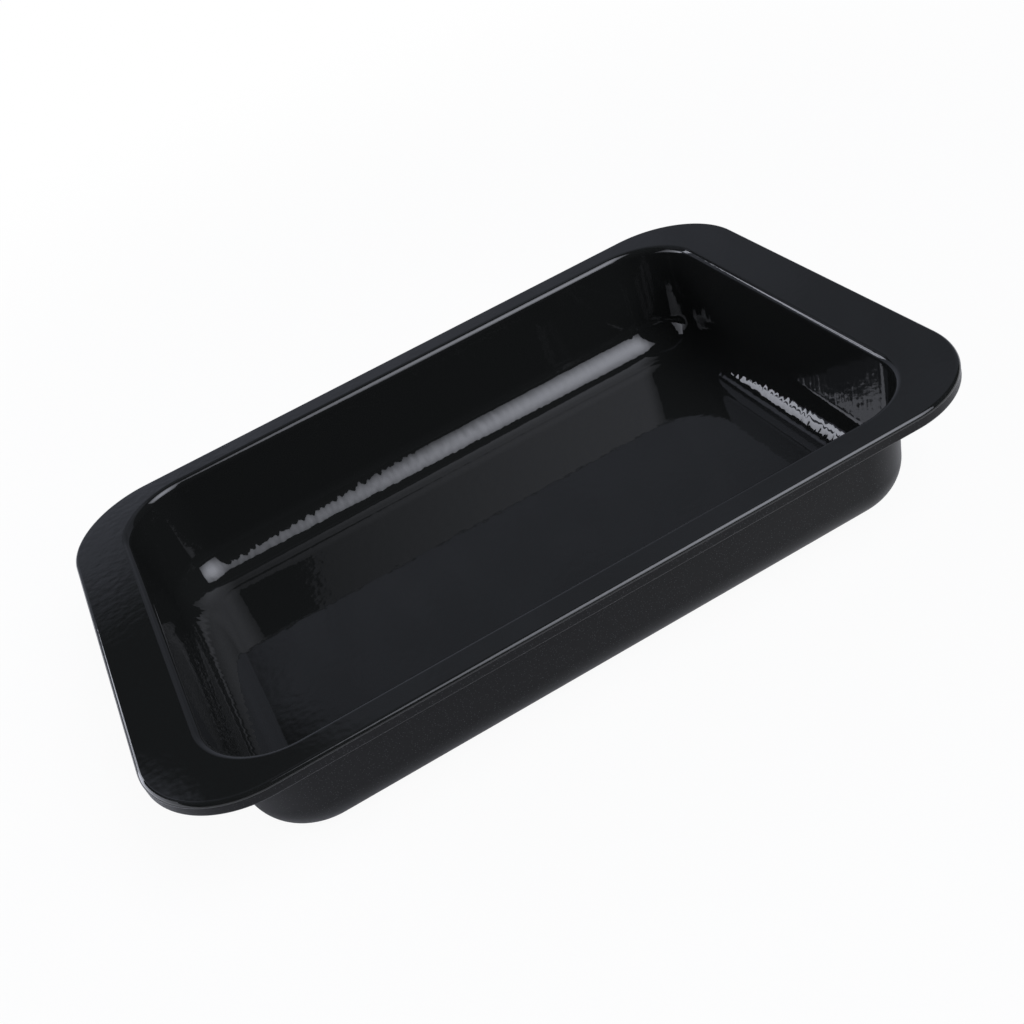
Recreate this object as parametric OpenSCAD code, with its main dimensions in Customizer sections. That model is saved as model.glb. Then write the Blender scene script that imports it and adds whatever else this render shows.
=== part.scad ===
// Shallow rectangular baking pan: one sheet of deep-drawn steel with a wide flat rim, fired with
// glass enamel on both faces. X runs along the pan, Y across it, and Z = 0 is the face it rests on.

/* [Pan] */
// Length over the rim
rim_l = 384; // [300:1:460]
// Width over the rim
rim_w = 260; // [200:1:320]
// Height from the base to the top of the rim
pan_h = 59; // [45:1:100]
// Radius of the rim's corners, seen from above
rim_corner_r = 46; // [40:0.5:70]

/* [Mouth and walls] */
// Distance from the rim's outer face to the mouth, at the two ends
end_rim_w = 28.4; // [22:0.1:40]
// Distance from the rim's outer face to the mouth, along the two sides
side_rim_w = 15.8; // [14:0.1:30]
// Radius of the mouth's corners, seen from above
mouth_corner_r = 34; // [30:0.5:50]
// Radius of the shoulder that rolls from the rim down into the wall
shoulder_r = 3.6; // [3:0.1:9]
// Slope of the walls from upright, in degrees
draft = 5; // [1:0.1:6.5]
// Radius between the wall and the floor, inside the pan
floor_r = 20; // [8:0.5:22]

/* [Turned-down edge] */
// Radius of the rim's top outer edge
edge_r = 2; // [1.8:0.1:3]
// Height of the edge, from the top of the rim to its lowest point
edge_h = 6.8; // [6.4:0.1:12]
// Space between the two faces of steel inside the hem, where the edge folds back up
hem_gap = 0.4; // [0.4:0.1:1.2]
// Height of the straight leg above the hem's bend
hem_leg = 1.8; // [0.5:0.1:2.5]

/* [Sheet and enamel] */
// Thickness of the steel
sheet_t = 0.8; // [0.6:0.05:1]
// Thickness of the gloss enamel: inside, on the rim and over its edge
inside_t = 0.3; // [0.2:0.01:0.4]
// Thickness of the satin enamel: outside, under the rim and around the hem
outside_t = 0.2; // [0.15:0.01:0.3]

/* [Hidden] */

// Facets of a full turn: round the pan's corners, and in the bends of its section
$fn = 32;
function section_facets(r) = r > 4 ? 24 : 16;

// A layer lies between two depths under the steel's upper face. That face is the floor, the inner
// wall, the top of the rim and the outer face of the turned-down edge.
steel = [0, sheet_t];
inside_coat = [-inside_t, 0];
edge_coat = [-outside_t, 0];
outside_coat = [sheet_t, sheet_t + outside_t];

rim_half = [rim_l / 2, rim_w / 2];
mouth_half = rim_half - [end_rim_w, side_rim_w];

// Edge profile: x = 0 at the rim's outer face, and the pan lies towards -x
edge_steel_r = edge_r - inside_t;
hem_steel_r = hem_gap / 2 + sheet_t;
edge_face_x = -inside_t;
edge_centre = [-edge_r, pan_h - edge_r];
hem_centre = [edge_face_x - hem_steel_r, pan_h - edge_h + outside_t + hem_steel_r];
leg_face_x = hem_centre[0] - hem_steel_r;
leg_top_z = hem_centre[1] + hem_leg;

// Wall profile: x = 0 at the mouth, and the rim lies towards +x
shoulder_steel_r = shoulder_r - inside_t;
floor_steel_r = floor_r + inside_t;
steel_floor_z = outside_t + sheet_t;
floor_centre_z = steel_floor_z + floor_steel_r;
centre_rise = pan_h - shoulder_r - floor_centre_z;
centre_run = (shoulder_r + floor_r + centre_rise * sin(draft)) / cos(draft);
floor_centre = [snap(shoulder_r - centre_run), floor_centre_z];
wall_length = centre_run * sin(draft) + centre_rise * cos(draft);

// Nearest thousandth of a millimetre, so that faces meant to meet do meet
function snap(v) = round(1000 * v) / 1000;

// Quarter of a ring, on the side of its centre that quadrant names with its two signs
module quarter_ring(centre, r_in, r_out, quadrant) {
  translate(centre)
    intersection() {
      difference() {
        circle(r_out, $fn = section_facets(r_out));
        if (snap(r_in) > 0) circle(r_in, $fn = section_facets(r_in));
      }
      translate([min(0, quadrant[0]) * 2 * r_out, min(0, quadrant[1]) * 2 * r_out]) square(2 * r_out);
    }
}

// Upright strip between two values of x
module upright(x0, x1, z0, z1) {
  translate([min(x0, x1), z0]) square([abs(x1 - x0), z1 - z0]);
}

// Top outer edge, where the rim turns down
module edge_bend(layer) {
  quarter_ring(edge_centre, edge_steel_r - layer[1], edge_steel_r - layer[0], [1, 1]);
}

// Upright edge, the hem's half ring under it and the leg that stands up inside it
module edge_and_hem(layer) {
  r_in = hem_steel_r - layer[1];
  r_out = hem_steel_r - layer[0];
  upright(edge_face_x - layer[1], edge_face_x - layer[0], hem_centre[1], edge_centre[1]);
  quarter_ring(hem_centre, r_in, r_out, [1, -1]);
  quarter_ring(hem_centre, r_in, r_out, [-1, -1]);
  upright(leg_face_x + layer[0], leg_face_x + layer[1], hem_centre[1], leg_top_z);
}

// Coat over the sheared top of the hem's leg, across to the coat behind the edge
module leg_cap() {
  quarter_ring([leg_face_x, leg_top_z], 0, outside_t, [-1, 1]);
  upright(leg_face_x, leg_face_x + sheet_t + outside_t, leg_top_z, leg_top_z + outside_t);
}

// Floor radius, sloping wall and shoulder, drawn upright about the floor radius's centre and then
// leant over by the draft
module wall(layer) {
  shoulder_at = [floor_steel_r + shoulder_steel_r, wall_length];
  intersection() {
    translate([floor_centre[0], 0]) square([shoulder_r - floor_centre[0], pan_h]);
    translate(floor_centre)
      rotate(-draft) {
        quarter_ring([0, 0], floor_steel_r + layer[0], floor_steel_r + layer[1], [1, -1]);
        upright(floor_steel_r + layer[0], floor_steel_r + layer[1], 0, wall_length);
        quarter_ring(shoulder_at, shoulder_steel_r - layer[1], shoulder_steel_r - layer[0], [-1, 1]);
      }
  }
}

// Sweeps a profile around a rounded rectangle. The profile's x = 0 runs along its outline.
module around(half, corner_r) {
  for (side = [0:3]) {
    out = half[side % 2];
    along = half[(side + 1) % 2];
    rotate(90 * side) {
      translate([out, 0, 0])
        rotate([90, 0, 0])
          linear_extrude(2 * (along - corner_r), center = true)
            children();
      translate([out - corner_r, along - corner_r, 0])
        rotate_extrude(angle = 90)
          translate([corner_r, 0])
            children();
    }
  }
}

// Rounded rectangle, made wider all round by grow
module outline(half, corner_r, grow) {
  size = half + [grow, grow];
  r = corner_r + grow;
  square(2 * [size[0] - r, size[1]], center = true);
  square(2 * [size[0], size[1] - r], center = true);
  for (x = [-1, 1], y = [-1, 1])
    translate([x * (size[0] - r), y * (size[1] - r)]) circle(r);
}

// Flat of the rim, between the shoulder and the edge
module rim_flat(layer) {
  translate([0, 0, pan_h - inside_t - layer[1]])
    linear_extrude(layer[1] - layer[0])
      difference() {
        outline(rim_half, rim_corner_r, -edge_r);
        outline(mouth_half, mouth_corner_r, shoulder_r);
      }
}

// Flat of the floor, inside the floor radius
module floor_flat(layer) {
  translate([0, 0, steel_floor_z - layer[1]])
    linear_extrude(layer[1] - layer[0])
      outline(mouth_half, mouth_corner_r, floor_centre[0]);
}

// Floor, walls, shoulder and rim of one layer, up to where the edge turns down
module dish(layer) {
  floor_flat(layer);
  around(mouth_half, mouth_corner_r) wall(layer);
  rim_flat(layer);
  around(rim_half, rim_corner_r) edge_bend(layer);
}

// Deep-drawn sheet with its edge turned down and hemmed
module steel_body() {
  color("#5b5d60") {
    dish(steel);
    around(rim_half, rim_corner_r) edge_and_hem(steel);
  }
}

// Gloss coat: floor, inner walls, top of the rim, and down to the foot of the edge's radius
module inside_enamel() {
  color("#0c0c0e") dish(inside_coat);
}

// Satin coat: base, outer walls, under the rim, and all round the turned-down edge
module outside_enamel() {
  color("#2a2b2c") {
    dish(outside_coat);
    around(rim_half, rim_corner_r) {
      edge_and_hem(edge_coat);
      edge_and_hem(outside_coat);
      leg_cap();
    }
  }
}

steel_body();
inside_enamel();
outside_enamel();
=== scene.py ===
"""Shallow rectangular baking pan: deep-drawn steel, gloss enamel inside and satin enamel outside.

Laid out as an add-on and run as a script. Lengths are in metres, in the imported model's own frame:
X along the pan, Y across it, and Z = 0 at the face it rests on.
"""

import math

import bmesh
import bpy
from bpy.props import (FloatProperty, FloatVectorProperty, IntProperty, PointerProperty,
                       StringProperty)
from mathutils import Euler, Matrix, Vector


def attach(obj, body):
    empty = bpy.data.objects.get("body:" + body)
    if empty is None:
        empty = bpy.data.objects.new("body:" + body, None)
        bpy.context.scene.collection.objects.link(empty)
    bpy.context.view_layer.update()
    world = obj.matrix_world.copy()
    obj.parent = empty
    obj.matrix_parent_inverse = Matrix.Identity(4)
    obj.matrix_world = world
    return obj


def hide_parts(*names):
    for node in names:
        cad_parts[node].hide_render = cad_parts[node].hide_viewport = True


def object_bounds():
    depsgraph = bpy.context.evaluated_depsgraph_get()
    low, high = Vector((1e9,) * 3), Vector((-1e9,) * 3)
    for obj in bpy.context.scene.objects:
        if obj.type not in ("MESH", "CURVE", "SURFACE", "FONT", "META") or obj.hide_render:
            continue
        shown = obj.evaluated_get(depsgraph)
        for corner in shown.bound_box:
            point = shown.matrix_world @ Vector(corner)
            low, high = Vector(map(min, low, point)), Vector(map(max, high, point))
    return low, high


bl_info = {
    "name": "Enamelled Baking Pan",
    "version": (1, 0, 0),
    "blender": (4, 5, 0),
    "location": "3D View > Sidebar > Baking Pan",
    "description": "Builds the enamelled baking pan, its finishes and a plain studio around it",
    "category": "Object",
}

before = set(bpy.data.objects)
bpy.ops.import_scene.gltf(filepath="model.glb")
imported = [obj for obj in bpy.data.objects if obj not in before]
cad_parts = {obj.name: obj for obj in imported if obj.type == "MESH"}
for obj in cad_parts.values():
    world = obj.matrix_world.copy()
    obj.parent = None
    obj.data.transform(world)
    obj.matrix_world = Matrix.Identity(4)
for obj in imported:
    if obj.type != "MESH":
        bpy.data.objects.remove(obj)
CAD_LOW, CAD_HIGH = [Vector(corner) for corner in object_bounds()]
MM = 0.001
QUARTER = math.radians(90)
WHITE = (1, 1, 1, 1)
FLAT = 0.5 * MM  # short flat stretch beside a bend, so that the bend's shading ends there
JOIN = 0.001 * MM  # points nearer than this are one

# Faces round each bend of a coat's section
FLOOR_STEPS, SHOULDER_STEPS = 26, 18
EDGE_STEPS, UNDER_EDGE_STEPS = 12, 8
LEG_STEPS, HEM_STEPS = 5, 20

# Black cards before the softboxes. Each side is (share across, share along, clear, dark), a line
# over the face as hang_softbox describes it
RIGHT_CARD = ((0.52, 1, 1.25, 1.31),)
BACK_CARD = ((1, 0, -0.5, -0.44), (1, 0, 0.2, 0.08),
             (0.55, 1, -0.42, -0.36), (0.55, 1, 0.12, 0.06))


# ---------------------------------------------------------------- sizes and colours


def length(name, description, default_mm):
    return FloatProperty(name=name, description=description, default=default_mm * MM, min=0.0,
                         unit="LENGTH", precision=5)


class PanSizes(bpy.types.PropertyGroup):
    """Sizes of the pan, the same as its CAD source has, and the gloss's own further lean."""

    rim_length: length("Rim length", "Length over the rim", (CAD_HIGH.x - CAD_LOW.x) / MM)
    rim_width: length("Rim width", "Width over the rim", (CAD_HIGH.y - CAD_LOW.y) / MM)
    height: length("Height", "From the base to the top of the rim", CAD_HIGH.z / MM)
    rim_corner: length("Rim corner", "Radius of the rim's corners, seen from above", 46)
    end_rim: length("End rim", "From the rim's outer face to the mouth at the ends", 28.4)
    side_rim: length("Side rim", "From the rim's outer face to the mouth along the sides", 15.8)
    mouth_corner: length("Mouth corner", "Radius of the mouth's corners, seen from above", 34)
    shoulder: length("Shoulder", "Radius from the rim down into the wall", 3.6)
    draft: FloatProperty(name="Draft", description="Slope of the walls from upright",
                         default=math.radians(5), subtype="ANGLE")
    gloss_lean: FloatProperty(name="Gloss lean", subtype="ANGLE", default=math.radians(1.5),
                              description="Further slope of the gloss on all the walls, where it "
                                          "has run and lies prouder towards the foot")
    floor_bend: length("Floor bend", "Radius between the wall and the floor, inside", 20)
    edge_bend: length("Edge bend", "Radius of the rim's top outer edge", 2)
    edge_height: length("Edge height", "From the top of the rim to the hem's lowest point", 6.8)
    hem_gap: length("Hem gap", "Between the two faces of steel inside the hem", 0.4)
    hem_leg: length("Hem leg", "Height of the leg above the hem's bend", 1.8)
    sheet: length("Sheet", "Thickness of the steel", 0.8)
    gloss_coat: length("Gloss coat", "Thickness of the gloss enamel", 0.3)
    satin_coat: length("Satin coat", "Thickness of the satin enamel", 0.2)
    corner_steps: IntProperty(name="Corner steps", description="Faces round a quarter turn",
                              default=40)


def colour(name, description, hex_value):
    return StringProperty(name=name, description=description + ", as an sRGB hex value",
                          default=hex_value)


def amount(name, description, default):
    return FloatProperty(name=name, description=description, default=default, min=0.0, precision=3)


class PanFinish(bpy.types.PropertyGroup):
    """Colours and surface of the steel and the two enamels."""

    gloss: colour("Gloss enamel", "Colour of the gloss coat", "#1d1e1d")
    satin: colour("Satin enamel", "Colour of the satin coat", "#0f0f0f")
    satin_speck: colour("Satin speck", "Colour of the fine specks in the satin coat", "#4a4b4c")
    steel: colour("Steel", "Colour of the drawn steel", "#8a8c8f")
    run: length("Run", "Width of one upright ripple on the gloss walls", 3.2)
    run_height: length("Run height", "Height of the upright ripples", 0.07)
    dimple: length("Dimple", "Width of one dimple in the fired gloss", 4.5)
    dimple_height: length("Dimple height", "Height of the dimples", 0.035)
    peel: length("Peel", "Width of the orange peel in the gloss", 1.2)
    peel_height: length("Peel height", "Height of the orange peel", 0.001)
    gloss_roughness: amount("Gloss roughness", "Roughness of the gloss enamel", 0.04)
    gloss_ior: amount("Gloss IOR", "Refractive index of the gloss enamel", 1.5)
    speck: length("Speck", "Spacing of the specks in the satin coat", 0.9)
    grain: length("Grain", "Width of the satin coat's grain", 0.5)
    grain_height: length("Grain height", "Height of the satin coat's grain", 0.006)
    satin_roughness: amount("Satin roughness", "Roughness of the satin enamel", 0.32)
    satin_ior: amount("Satin IOR", "Refractive index of the satin enamel", 1.33)
    mark: length("Mark", "Width of one draw mark in the steel", 0.8)
    mark_height: length("Mark height", "Height of the draw marks", 0.004)


def turns(degrees):
    return [math.radians(a) for a in degrees]


def softbox(name, description, degrees):
    return FloatVectorProperty(name=name, default=turns(degrees), subtype="EULER",
                               description=description + ": bearing from +X, height above the "
                                                         "floor, and roll")


def box_size(name, metres):
    return FloatVectorProperty(name=name, description="Width and height of its face", size=2,
                               default=metres, subtype="XYZ_LENGTH", unit="LENGTH")


def box_light(name, levels):
    return FloatVectorProperty(name=name, default=levels, size=4,
                               description="Brightness in the middle of its face, where 1 is "
                                           "white, how much it gains towards its right and its "
                                           "top, and how much it falls off all round")


class PanStudio(bpy.types.PropertyGroup):
    """The floor, the lamps and the camera."""

    paper: colour("Paper", "Colour of the white paper that the pan stands on", "#f4f4f4")
    paper_radius: length("Paper radius", "Radius of the paper", 6000)
    right_box: softbox("Right softbox", "In front of the pan, to its right and above",
                       (-57.2, 49.4, -7.7))
    right_box_size: box_size("Right softbox size", (2.44, 3.56))
    right_box_light: box_light("Right softbox light", (6.0, 0.12, 0.03, 0.93))
    right_box_distance: length("Right softbox distance", "From the pan's middle", 3100)
    left_box: softbox("Left softbox", "Low beside the pan, to its left", (176.9, -1.8, 38.2))
    left_box_size: box_size("Left softbox size", (0.699, 1.472))
    left_box_light: box_light("Left softbox light", (2.2, -0.8, 0.30, 0.0))
    left_box_distance: length("Left softbox distance", "From the pan's middle", 847.5)
    back_box: softbox("Back softbox", "Narrow, behind the pan and to its left",
                      (124.5, 27.1, 56))
    back_box_size: box_size("Back softbox size", (0.455, 1.08))
    back_box_light: box_light("Back softbox light", (5.5, 0.0, -0.15, 0.1))
    back_box_distance: length("Back softbox distance", "From the pan's middle", 2500)
    box_tint: colour("Softbox tint", "Colour of the softboxes' light", "#f0f3ff")
    room_tint: colour("Room tint", "Colour of the light that the room gives back", "#e4eaff")
    bright_spot: FloatVectorProperty(name="Bright spot", default=(-0.2, 0.745, 0.64),
                                     description="Direction of a bright spot on the room's wall")
    lens: FloatProperty(name="Lens", description="Focal length of the camera, in millimetres",
                        default=46.283)
    eye: FloatVectorProperty(name="Eye", description="Where the camera stands",
                             default=(-0.108882, -0.509132, 0.381354), subtype="TRANSLATION",
                             unit="LENGTH", precision=5)
    tilt: FloatVectorProperty(name="Tilt", description="How the camera is turned", subtype="EULER",
                              default=turns((53.48418, 17.52291, -25.01489)))


# ---------------------------------------------------------------- shaping the coats


def straight(bm, end, run, rise, support=0.4 * MM):
    """Carries the section on in a straight line; a short stretch at each end holds it flat."""
    way = Vector((run, 0, rise))
    part = min(support, way.length / 4)
    for stretch in (part, way.length - 2 * part, part):
        end = bmesh.ops.extrude_vert_indiv(bm, verts=[end])["verts"][0]
        bmesh.ops.translate(bm, verts=[end], vec=way.normalized() * stretch)
    return end


def bend(bm, end, centre, turn, steps):
    """Carries the section on in an arc; a turn above zero goes from +X towards +Z."""
    arc = bmesh.ops.spin(bm, geom=[end], cent=(centre[0], 0, centre[1]), axis=(0, -1, 0),
                         angle=turn, steps=steps, dvec=(0, 0, 0), use_merge=False,
                         use_normal_flip=False, use_duplicate=False)
    return next(e for e in arc["geom_last"] if isinstance(e, bmesh.types.BMVert))


def pull(bm, line, vec):
    """Pulls a line of edges along into a strip of faces, and returns the line at its far side."""
    made = bmesh.ops.extrude_edge_only(bm, edges=line)["geom"]
    verts = [g for g in made if isinstance(g, bmesh.types.BMVert)]
    bmesh.ops.translate(bm, verts=verts, vec=vec)
    edges = [g for g in made if isinstance(g, bmesh.types.BMEdge)]
    return [e for e in edges if all(v in verts for v in e.verts)]


def sweep_quarter(bm, section, half, corner, steps):
    """Sweeps a section that stands in the XZ plane along a quarter of a rounded rectangle."""
    for way in (half.y - corner - FLAT, FLAT):
        section = pull(bm, section, (0, way, 0))
    verts = list({v for e in section for v in e.verts})
    arc = bmesh.ops.spin(bm, geom=verts + section, cent=(half.x - corner, half.y - corner, 0),
                         axis=(0, 0, 1), angle=QUARTER, steps=steps, dvec=(0, 0, 0),
                         use_merge=False, use_normal_flip=False, use_duplicate=False)
    section = [g for g in arc["geom_last"] if isinstance(g, bmesh.types.BMEdge)]
    for way in (FLAT, half.x - corner - FLAT):
        section = pull(bm, section, (-way, 0, 0))


def all_round(bm):
    """Mirrors the quarter into the whole pan and joins the seams."""
    for axis in ("X", "Y"):
        bmesh.ops.mirror(bm, geom=bm.verts[:] + bm.edges[:] + bm.faces[:],
                         matrix=Matrix.Identity(4), merge_dist=JOIN, axis=axis)
    bmesh.ops.remove_doubles(bm, verts=bm.verts[:], dist=JOIN)


def open_edges_at(bm, z):
    """The edges of the skin's openings that lie at a height."""
    near = 10 * JOIN
    return [e for e in bm.edges if e.is_boundary and all(abs(v.co.z - z) < near for v in e.verts)]


def coat(bm, rim_z, floor_z, floor_faces_up, thickness):
    """Closes a swept skin's rim and floor and gives it its thickness, towards the steel."""
    bmesh.ops.bridge_loops(bm, edges=open_edges_at(bm, rim_z))
    bmesh.ops.contextual_create(bm, geom=open_edges_at(bm, floor_z))
    bmesh.ops.recalc_face_normals(bm, faces=bm.faces[:])
    floor = max(bm.faces, key=lambda f: f.calc_area())
    if (floor.normal.z > 0) != floor_faces_up:
        bmesh.ops.reverse_faces(bm, faces=bm.faces[:])
    bmesh.ops.solidify(bm, geom=bm.faces[:], thickness=thickness)
    if bm.calc_volume(signed=True) < 0:
        bmesh.ops.reverse_faces(bm, faces=bm.faces[:])


def wire(bm, start):
    return bm.verts.new((start[0], 0, start[1]))


def bowl_section(bm, floor_z, floor, wall, shoulder, draft):
    """Draws the section from just inside the floor's bend, up the wall and over the shoulder."""
    end = wire(bm, (floor[0] - FLAT, floor_z))
    end = straight(bm, end, FLAT, 0)
    end = bend(bm, end, floor, QUARTER - draft, FLOOR_STEPS)
    end = straight(bm, end, wall * math.sin(draft), wall * math.cos(draft))
    end = bend(bm, end, shoulder, draft - QUARTER, SHOULDER_STEPS)
    straight(bm, end, FLAT, 0)


def section_since(bm, count):
    """The edges drawn since there were so many."""
    return list(bm.edges)[count:]


def finish_piece(bm, name, material, node):
    """Makes the object, which rides on the pan and stands for its CAD node."""
    mesh = bpy.data.meshes.new(name)
    for face in bm.faces:
        face.smooth = True
    bm.to_mesh(mesh)
    bm.free()
    mesh.materials.append(material)
    piece = bpy.data.objects.new(name, mesh)
    bpy.context.scene.collection.objects.link(piece)
    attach(piece, "root")
    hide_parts(node)
    return piece


# ---------------------------------------------------------------- materials


def linear(hex_value):
    """Turns an sRGB hex value into the linear colour that the shaders take."""
    parts = [int(hex_value.lstrip("#")[i:i + 2], 16) / 255 for i in (0, 2, 4)]
    return (*(c / 12.92 if c <= 0.04045 else ((c + 0.055) / 1.055) ** 2.4 for c in parts), 1.0)


def add_node(tree, kind, inputs=None, **settings):
    """Adds a node: settings are its own, and inputs are values or the sockets that feed them."""
    made = tree.nodes.new(kind)
    for key, value in settings.items():
        setattr(made, key, value)
    for key, value in (inputs or {}).items():
        if isinstance(value, bpy.types.NodeSocket):
            tree.links.new(value, made.inputs[key])
        else:
            made.inputs[key].default_value = value
    return made


def step(tree, value, low, high, start=0.0, end=1.0):
    """A smooth change from start to end as the value goes from low to high."""
    return add_node(tree, "ShaderNodeMapRange", {"Value": value, "From Min": low, "From Max": high,
                                                 "To Min": start, "To Max": end},
                    interpolation_type="SMOOTHSTEP").outputs["Result"]


def maths(tree, operation, *values):
    made = add_node(tree, "ShaderNodeMath", dict(enumerate(values)), operation=operation)
    return made.outputs["Value"]


def noise(tree, where, width, detail):
    """Soft noise, from 0 to 1, with blobs of about that width."""
    return add_node(tree, "ShaderNodeTexNoise", {"Vector": where, "Scale": 1.0 / width,
                                                 "Detail": detail}).outputs["Fac"]


def relief(tree, shape, height, under=None):
    """A surface's normal once a shape of that height is laid over the one under it."""
    inputs = {"Height": shape, "Strength": 1.0, "Distance": height}
    if under is not None:
        inputs["Normal"] = under
    return add_node(tree, "ShaderNodeBump", inputs).outputs["Normal"]


def stretched(tree, where, upright):
    """Places for a noise that is drawn out upright."""
    made = add_node(tree, "ShaderNodeMapping", {"Vector": where, "Scale": (1.0, 1.0, upright)})
    return made.outputs["Vector"]


def new_material(name):
    material = bpy.data.materials.new(name)
    material.use_nodes = True
    material.node_tree.nodes.clear()
    return material, material.node_tree


def surfaced(material, tree, inputs):
    """Gives the material its one surface."""
    shader = add_node(tree, "ShaderNodeBsdfPrincipled", inputs)
    add_node(tree, "ShaderNodeOutputMaterial", {"Surface": shader.outputs["BSDF"]})
    return material


def gloss_enamel(finish):
    """Vitreous enamel, sprayed and fired to a gloss: black glass on steel, about 0.3 mm thick.

    It mirrors the studio in a surface that isn't quite flat. On the walls the melt has run into
    fine upright ripples, which give the edges of reflections their teeth; everywhere it leaves
    shallow dimples and a much finer orange peel.
    """
    material, tree = new_material("gloss_black_vitreous_enamel_fired")
    where = add_node(tree, "ShaderNodeTexCoord").outputs["Object"]
    place = add_node(tree, "ShaderNodeSeparateXYZ", {"Vector": where})
    height, reach = place.outputs["Z"], maths(tree, "ABSOLUTE", place.outputs["X"])
    # The ripples gather where the walls meet the floor, and reach furthest up at the pan's ends
    at_foot = step(tree, height, 20 * MM, 11 * MM, 0.12, 1.0)
    at_end = maths(tree, "MULTIPLY", step(tree, reach, 120 * MM, 145 * MM, 0.0, 1.5),
                   step(tree, height, 38 * MM, 22 * MM, 0.1, 1.0))
    # The floor and the rim have none
    on_wall = maths(tree, "MULTIPLY", step(tree, height, 2.5 * MM, 5 * MM),
                    step(tree, height, 58.5 * MM, 56 * MM))
    on_wall = maths(tree, "MULTIPLY", on_wall, maths(tree, "MAXIMUM", at_foot, at_end))
    runs = noise(tree, stretched(tree, where, upright=0.12), finish.run, 0.0)
    normal = relief(tree, maths(tree, "MULTIPLY", runs, on_wall), finish.run_height)
    normal = relief(tree, noise(tree, where, finish.dimple, 1.0), finish.dimple_height, normal)
    normal = relief(tree, noise(tree, where, finish.peel, 2.0), finish.peel_height, normal)
    return surfaced(material, tree, {"Base Color": linear(finish.gloss), "Normal": normal,
                                     "Roughness": finish.gloss_roughness,
                                     "IOR": finish.gloss_ior})


def satin_enamel(finish):
    """Ground-coat enamel, fired to a satin: black, with fine grey specks of undissolved frit."""
    material, tree = new_material("satin_ground_coat_enamel_fired")
    where = add_node(tree, "ShaderNodeTexCoord").outputs["Object"]
    cells = add_node(tree, "ShaderNodeTexVoronoi", {"Vector": where, "Scale": 1.0 / finish.speck})
    speck = add_node(tree, "ShaderNodeMapRange", {"Value": cells.outputs["Distance"],
                                                  "From Min": 0.10, "From Max": 0.22,
                                                  "To Min": 1.0, "To Max": 0.0})
    tint = add_node(tree, "ShaderNodeMix", {"Factor": speck.outputs["Result"],
                                            "A": linear(finish.satin),
                                            "B": linear(finish.satin_speck)}, data_type="RGBA")
    normal = relief(tree, noise(tree, where, finish.grain, 2.0), finish.grain_height)
    return surfaced(material, tree, {"Base Color": tint.outputs["Result"], "Normal": normal,
                                     "Roughness": finish.satin_roughness,
                                     "IOR": finish.satin_ior})


def drawn_steel(finish):
    """Low-carbon steel, deep drawn and pickled: grey, dull, with faint marks along the draw."""
    material, tree = new_material("pickled_deep_drawn_steel")
    where = add_node(tree, "ShaderNodeTexCoord").outputs["Object"]
    marks = noise(tree, stretched(tree, where, upright=0.1), finish.mark, 3.0)
    dull = add_node(tree, "ShaderNodeMapRange", {"Value": marks, "To Min": 0.38, "To Max": 0.6})
    return surfaced(material, tree, {"Base Color": linear(finish.steel), "Metallic": 1.0,
                                     "Roughness": dull.outputs["Result"],
                                     "Normal": relief(tree, marks, finish.mark_height)})


# ---------------------------------------------------------------- pieces


def layout(sizes, draft):
    """Places in a coat's section: half sizes, the centres of its bends and its wall's length."""
    rim = Vector((sizes.rim_length / 2, sizes.rim_width / 2))
    mouth = rim - Vector((sizes.end_rim, sizes.side_rim))
    floor_top = sizes.satin_coat + sizes.sheet + sizes.gloss_coat
    shoulder = (mouth.x + sizes.shoulder, sizes.height - sizes.shoulder)
    rise = shoulder[1] - floor_top - sizes.floor_bend
    run = (sizes.shoulder + sizes.floor_bend + rise * math.sin(draft)) / math.cos(draft)
    floor = (shoulder[0] - run, floor_top + sizes.floor_bend)
    wall = run * math.sin(draft) + rise * math.cos(draft)
    edge = (rim.x - sizes.edge_bend, sizes.height - sizes.edge_bend)
    return rim, mouth, floor_top, shoulder, floor, wall, edge


class PAN_OT_steel_body(bpy.types.Operator):
    """Give the drawn steel sheet its finish"""

    bl_idname = "pan.steel_body"
    bl_label = "Steel Body"

    def execute(self, context):
        material = drawn_steel(context.scene.pan_finish)
        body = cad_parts["steel_body"]
        body.data.materials.clear()
        body.data.materials.append(material)
        return {"FINISHED"}


class PAN_OT_inside_enamel(bpy.types.Operator):
    """Model the gloss coat: floor, inner walls, top of the rim and its top edge"""

    bl_idname = "pan.inside_enamel"
    bl_label = "Inside Enamel"

    def execute(self, context):
        sizes = context.scene.pan_sizes
        draft = sizes.draft + sizes.gloss_lean
        rim, mouth, floor_top, shoulder, floor, wall, edge = layout(sizes, draft)
        bm = bmesh.new()
        bowl_section(bm, floor_top, floor, wall, shoulder, draft)
        sweep_quarter(bm, list(bm.edges), mouth, sizes.mouth_corner, sizes.corner_steps)
        # Edge: from the flat of the rim round its top outer edge
        before = len(bm.edges)
        end = wire(bm, (edge[0] - FLAT, sizes.height))
        end = straight(bm, end, FLAT, 0)
        bend(bm, end, edge, -QUARTER, EDGE_STEPS)
        sweep_quarter(bm, section_since(bm, before), rim, sizes.rim_corner, sizes.corner_steps)
        all_round(bm)
        coat(bm, sizes.height, floor_top, True, sizes.gloss_coat)
        material = gloss_enamel(context.scene.pan_finish)
        finish_piece(bm, "inside_enamel_coat", material, "inside_enamel")
        return {"FINISHED"}


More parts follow.
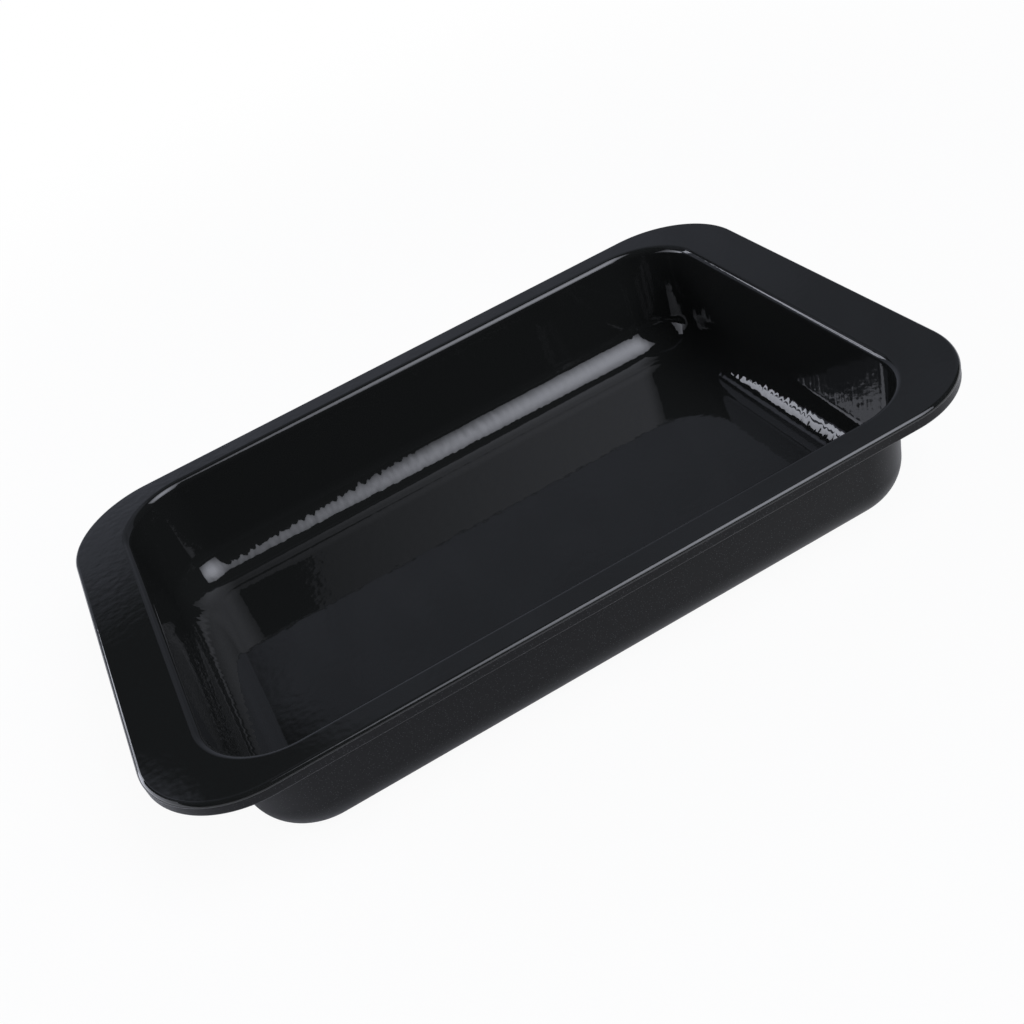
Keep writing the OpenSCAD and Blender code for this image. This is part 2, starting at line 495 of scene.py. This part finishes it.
class PAN_OT_outside_enamel(bpy.types.Operator):
    """Model the satin coat: base, outer walls, underside of the rim and the hemmed edge"""

    bl_idname = "pan.outside_enamel"
    bl_label = "Outside Enamel"

    def execute(self, context):
        sizes = context.scene.pan_sizes
        rim, mouth, floor_top, shoulder, floor, wall, edge = layout(sizes, sizes.draft)
        under = sizes.height - floor_top
        bm = bmesh.new()
        bowl_section(bm, 0, floor, wall, shoulder, sizes.draft)
        sweep_quarter(bm, list(bm.edges), mouth, sizes.mouth_corner, sizes.corner_steps)
        # Edge: down behind it, over the hem's leg, round the hem and up its outer face
        fold = sizes.hem_gap / 2 + sizes.sheet
        hem = (rim.x - sizes.gloss_coat - fold,
               sizes.height - sizes.edge_height + sizes.satin_coat + fold)
        leg_top = hem[1] + sizes.hem_leg
        leg_face = hem[0] - fold
        behind = rim.x - sizes.gloss_coat - sizes.sheet - sizes.satin_coat
        before = len(bm.edges)
        end = wire(bm, (edge[0] - FLAT, under))
        end = straight(bm, end, FLAT, 0)
        end = bend(bm, end, edge, -QUARTER, UNDER_EDGE_STEPS)
        end = straight(bm, end, 0, leg_top + sizes.satin_coat - end.co.z, support=0.1 * MM)
        end = straight(bm, end, leg_face - behind, 0, support=0.05 * MM)
        end = bend(bm, end, (leg_face, leg_top), QUARTER, LEG_STEPS)
        end = straight(bm, end, 0, hem[1] - leg_top, support=0.1 * MM)
        end = bend(bm, end, hem, 2 * QUARTER, HEM_STEPS)
        straight(bm, end, 0, edge[1] - hem[1])
        sweep_quarter(bm, section_since(bm, before), rim, sizes.rim_corner, sizes.corner_steps)
        all_round(bm)
        coat(bm, under, 0, False, sizes.satin_coat)
        material = satin_enamel(context.scene.pan_finish)
        finish_piece(bm, "outside_enamel_coat", material, "outside_enamel")
        return {"FINISHED"}


# ---------------------------------------------------------------- studio


def hang_softbox(studio, side, card=()):
    """Hangs one of the studio's lamps facing the pan, brightest near the middle of its face.

    A black card may stand before part of the face. Each of its sides is a line: the shares of the
    ways across and along the face that add up to a distance, and the distances at which the light
    is clear and dark. The card is dark only where all of its sides are.
    """
    bearing, size, light, distance = (getattr(studio, side + part) for part in
                                      ("_box", "_box_size", "_box_light", "_box_distance"))
    azimuth, height, roll = bearing
    level, right, top, fall = light
    name = "softbox_" + side
    data = bpy.data.lights.new(name, "AREA")
    data.shape = "RECTANGLE"
    data.size, data.size_y = size
    data.energy = level * math.pi * size[0] * size[1]
    data.use_nodes = True
    tree = data.node_tree
    tree.nodes.clear()
    # Place on the face, from -1 to 1 across and along it
    corner = add_node(tree, "ShaderNodeNewGeometry").outputs["Parametric"]
    face = add_node(tree, "ShaderNodeVectorMath", {0: corner, 1: (2, 2, 0), 2: (-1, -1, 0)},
                    operation="MULTIPLY_ADD").outputs["Vector"]
    gain = add_node(tree, "ShaderNodeVectorMath", {0: face, 1: (right, top, 0)},
                    operation="DOT_PRODUCT").outputs["Value"]
    out = add_node(tree, "ShaderNodeVectorMath", {0: face, 1: face},
                   operation="DOT_PRODUCT").outputs["Value"]
    glow = maths(tree, "EXPONENT", maths(tree, "MULTIPLY_ADD", out, -fall, gain))
    if card:
        place = add_node(tree, "ShaderNodeSeparateXYZ", {"Vector": face})
        covered = 1.0
        for across_share, along_share, clear, dark in card:
            reach = maths(tree, "MULTIPLY", place.outputs["Y"], along_share)
            reach = maths(tree, "MULTIPLY_ADD", place.outputs["X"], across_share, reach)
            covered = maths(tree, "MULTIPLY", covered, step(tree, reach, clear, dark))
        glow = maths(tree, "MULTIPLY", glow, maths(tree, "SUBTRACT", 1.0, covered))
    shader = add_node(tree, "ShaderNodeEmission", {"Color": linear(studio.box_tint),
                                                   "Strength": glow})
    add_node(tree, "ShaderNodeOutputLight", {"Surface": shader.outputs["Emission"]})
    away = Vector((math.cos(height) * math.cos(azimuth), math.cos(height) * math.sin(azimuth),
                   math.sin(height)))
    turn = away.to_track_quat("Z", "Y").to_matrix() @ Matrix.Rotation(roll, 3, "Z")
    lamp = bpy.data.objects.new(name, data)
    lamp.location = away * distance
    lamp.rotation_euler = turn.to_euler()
    lamp.visible_camera = False
    bpy.context.scene.collection.objects.link(lamp)


def paper(studio):
    """Matt white background paper, made white by a painted glow of its own, which is no lamp.

    The camera sees it glow white far off, and near the pan almost so, where the rest keeps the
    pan's shadow. Mirrored, it glows white far off too; near the pan it shows mostly the light that
    falls on it, plus a painted glow that grows towards the right. Matt things get only what falls
    on it.
    """
    material, tree = new_material("matt_white_paper")
    matt = add_node(tree, "ShaderNodeBsdfPrincipled", {"Base Color": linear(studio.paper),
                                                       "Roughness": 0.9})
    glow = add_node(tree, "ShaderNodeEmission", {"Color": WHITE, "Strength": 1.0})
    ray = add_node(tree, "ShaderNodeLightPath").outputs
    where = add_node(tree, "ShaderNodeTexCoord").outputs["Object"]
    away = add_node(tree, "ShaderNodeVectorMath", {0: where}, operation="LENGTH").outputs["Value"]
    across = add_node(tree, "ShaderNodeSeparateXYZ", {"Vector": where}).outputs["X"]
    near, far = 0.35, 1.1
    seen = maths(tree, "MULTIPLY", ray["Is Camera Ray"], step(tree, away, near, far, 0.94, 1.0))
    mirrored = maths(tree, "MAXIMUM", ray["Is Glossy Ray"], ray["Is Transmission Ray"])
    # Painted light: for mirrored rays the paper glows more towards the right near the pan, fully
    # far off
    painted_glow_share = maths(tree, "MAXIMUM", step(tree, across, -0.15, 0.3, 0.02, 0.33),
                step(tree, away, near, far))
    share = maths(tree, "MAXIMUM", seen, maths(tree, "MULTIPLY", mirrored, painted_glow_share))
    mixed = add_node(tree, "ShaderNodeMixShader", {"Fac": share, 1: matt.outputs["BSDF"],
                                                   2: glow.outputs["Emission"]})
    add_node(tree, "ShaderNodeOutputMaterial", {"Surface": mixed.outputs["Shader"]})
    return material


def studio_air(studio):
    """The room beyond the lamps: dark, but for a grey wall that stands behind the pan.

    The wall is what the flat rim mirrors. It is lighter high up and low down than between, ends
    overhead, and is dimmer to the right. From head height up its left part is cut off, dimly back
    higher still, with one bright spot in it. The white that the camera sees at the horizon lights
    nothing. Sides, depths and heights are parts of a direction of length 1.
    """
    world = bpy.data.worlds.new("studio_air")
    world.use_nodes = True
    tree = world.node_tree
    tree.nodes.clear()
    sky = add_node(tree, "ShaderNodeTexCoord").outputs["Generated"]
    way = add_node(tree, "ShaderNodeSeparateXYZ", {"Vector": sky})
    x, y, z = (way.outputs[axis] for axis in "XYZ")
    wall = maths(tree, "MULTIPLY", step(tree, y, 0.24, 0.34),
                 step(tree, y, 0.62, 0.74, 0.30, 0.205))
    # It shows to the right of the cut, which leans, and below it, and dimly above
    rise = maths(tree, "MAXIMUM", maths(tree, "SUBTRACT", z, 0.61), 0.0)
    shows = maths(tree, "MAXIMUM", step(tree, maths(tree, "SUBTRACT", x, rise), -0.08, -0.02),
                  step(tree, z, 0.53, 0.48))
    shows = maths(tree, "MAXIMUM", shows, step(tree, z, 0.64, 0.68, 0.0, 0.4))
    wall = maths(tree, "MULTIPLY", wall, shows)
    wall = maths(tree, "MULTIPLY", wall, step(tree, x, 0.3, 0.5, 1.0, 0.7))
    low_glow = maths(tree, "MULTIPLY", step(tree, z, 0.50, 0.44, 0.0, 0.16),
                     step(tree, x, 0.45, 0.0))
    wall = maths(tree, "ADD", wall, maths(tree, "MULTIPLY", low_glow, step(tree, y, 0.5, 0.7)))
    off_spot = add_node(tree, "ShaderNodeVectorMath", {0: sky, 1: studio.bright_spot},
                        operation="DISTANCE").outputs["Value"]
    wall = maths(tree, "ADD", wall, step(tree, off_spot, 0.09, 0.04, 0.0, 0.5))
    clutter = noise(tree, sky, 1 / 30, 3.0)
    wall = maths(tree, "MULTIPLY", wall, step(tree, clutter, 0.3, 0.7, 0.92, 1.08))
    air = add_node(tree, "ShaderNodeBackground", {"Color": linear(studio.room_tint),
                                                  "Strength": wall})
    white = add_node(tree, "ShaderNodeBackground", {"Color": WHITE, "Strength": 1.0})
    ray = add_node(tree, "ShaderNodeLightPath").outputs
    both = add_node(tree, "ShaderNodeMixShader", {"Fac": ray["Is Camera Ray"],
                                                  1: air.outputs["Background"],
                                                  2: white.outputs["Background"]})
    add_node(tree, "ShaderNodeOutputWorld", {"Surface": both.outputs["Shader"]})
    return world


class PAN_OT_studio(bpy.types.Operator):
    """Lay the floor, hang the lamps and set the camera"""

    bl_idname = "pan.studio"
    bl_label = "Studio"

    def execute(self, context):
        scene = context.scene
        studio = scene.pan_studio
        bm = bmesh.new()
        bmesh.ops.create_circle(bm, cap_ends=True, segments=64, radius=studio.paper_radius)
        mesh = bpy.data.meshes.new("floor")
        bm.to_mesh(mesh)
        bm.free()
        mesh.materials.append(paper(studio))
        floor = bpy.data.objects.new("floor", mesh)
        scene.collection.objects.link(floor)

        hang_softbox(studio, "right", RIGHT_CARD)
        hang_softbox(studio, "left")
        hang_softbox(studio, "back", BACK_CARD)
        scene.world = studio_air(studio)
        lens = bpy.data.cameras.new("camera")
        lens.lens = studio.lens
        lens.sensor_width = 36.0
        lens.clip_start = 0.01
        camera = bpy.data.objects.new("camera", lens)
        camera.location = studio.eye
        camera.rotation_euler = Euler(studio.tilt)
        scene.collection.objects.link(camera)
        scene.camera = camera
        scene.view_settings.view_transform = "Standard"
        return {"FINISHED"}


class PAN_PT_sidebar(bpy.types.Panel):
    """Lists the pan's pieces and its sizes"""

    bl_label = "Baking Pan"
    bl_idname = "PAN_PT_sidebar"
    bl_space_type = "VIEW_3D"
    bl_region_type = "UI"
    bl_category = "Baking Pan"

    def draw(self, context):
        panel = self.layout
        for operator in OPERATORS:
            panel.operator(operator.bl_idname)
        for group in (context.scene.pan_sizes, context.scene.pan_finish, context.scene.pan_studio):
            box = panel.box()
            for name in group.bl_rna.properties.keys():
                if name not in ("rna_type", "name"):
                    box.prop(group, name)


GROUPS = {"pan_sizes": PanSizes, "pan_finish": PanFinish, "pan_studio": PanStudio}
OPERATORS = (PAN_OT_steel_body, PAN_OT_inside_enamel, PAN_OT_outside_enamel, PAN_OT_studio)


def register():
    for cls in (*GROUPS.values(), *OPERATORS, PAN_PT_sidebar):
        bpy.utils.register_class(cls)
    for name, cls in GROUPS.items():
        setattr(bpy.types.Scene, name, PointerProperty(type=cls))


def unregister():
    for name in GROUPS:
        delattr(bpy.types.Scene, name)
    for cls in reversed((*GROUPS.values(), *OPERATORS, PAN_PT_sidebar)):
        bpy.utils.unregister_class(cls)


def main():
    register()
    bpy.ops.pan.steel_body()
    bpy.ops.pan.inside_enamel()
    bpy.ops.pan.outside_enamel()
    bpy.ops.pan.studio()


if __name__ == "__main__":
    main()
